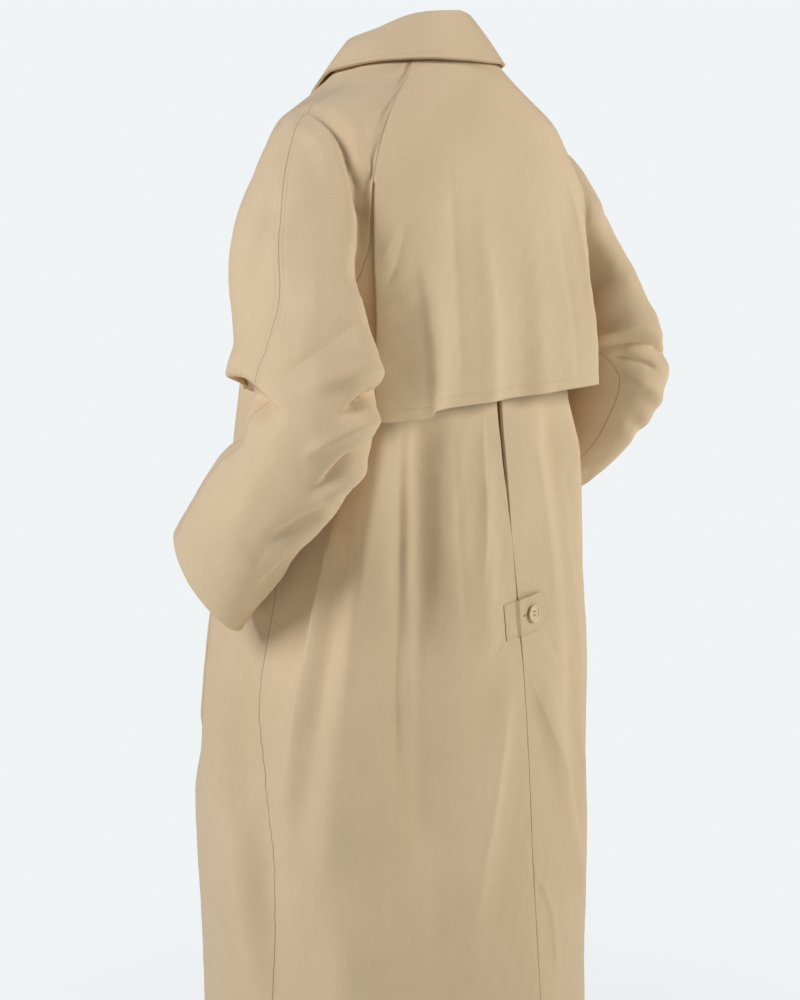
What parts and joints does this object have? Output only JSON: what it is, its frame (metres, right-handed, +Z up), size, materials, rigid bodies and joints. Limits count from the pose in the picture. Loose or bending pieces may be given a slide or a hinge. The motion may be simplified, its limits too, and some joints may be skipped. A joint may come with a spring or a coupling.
{
  "type": "raglan coat",
  "caption": "Long raglan coat with a turn-down collar, a loose storm cape over the back and a buttoned tab holding an inverted back pleat, hollow as worn.",
  "frame": {"origin": "middle of the neck opening, level with the back neck seam", "axes": "+Z up; the wearer faces -Y and the wearer's left arm is towards +X"},
  "size_m": [0.638, 0.4308, 1.2186],
  "materials": {
    "shell_cloth": "tightly woven cotton twill",
    "button": "horn-like satin"
  },
  "bodies": {
    "root": {"back_left": "shell_cloth", "back_right": "shell_cloth", "front_left": "shell_cloth", "front_right": "shell_cloth", "sleeve_back_left": "shell_cloth", "sleeve_back_right": "shell_cloth", "sleeve_front_left": "shell_cloth", "sleeve_front_right": "shell_cloth", "cape": "shell_cloth", "pleat_underlay": "shell_cloth", "collar_stand": "shell_cloth", "collar": "shell_cloth", "pocket_welt_left": "shell_cloth", "pocket_welt_right": "shell_cloth", "tab": "shell_cloth", "tab_button": "button", "front_button": "button"}
  },
  "joints": []
}
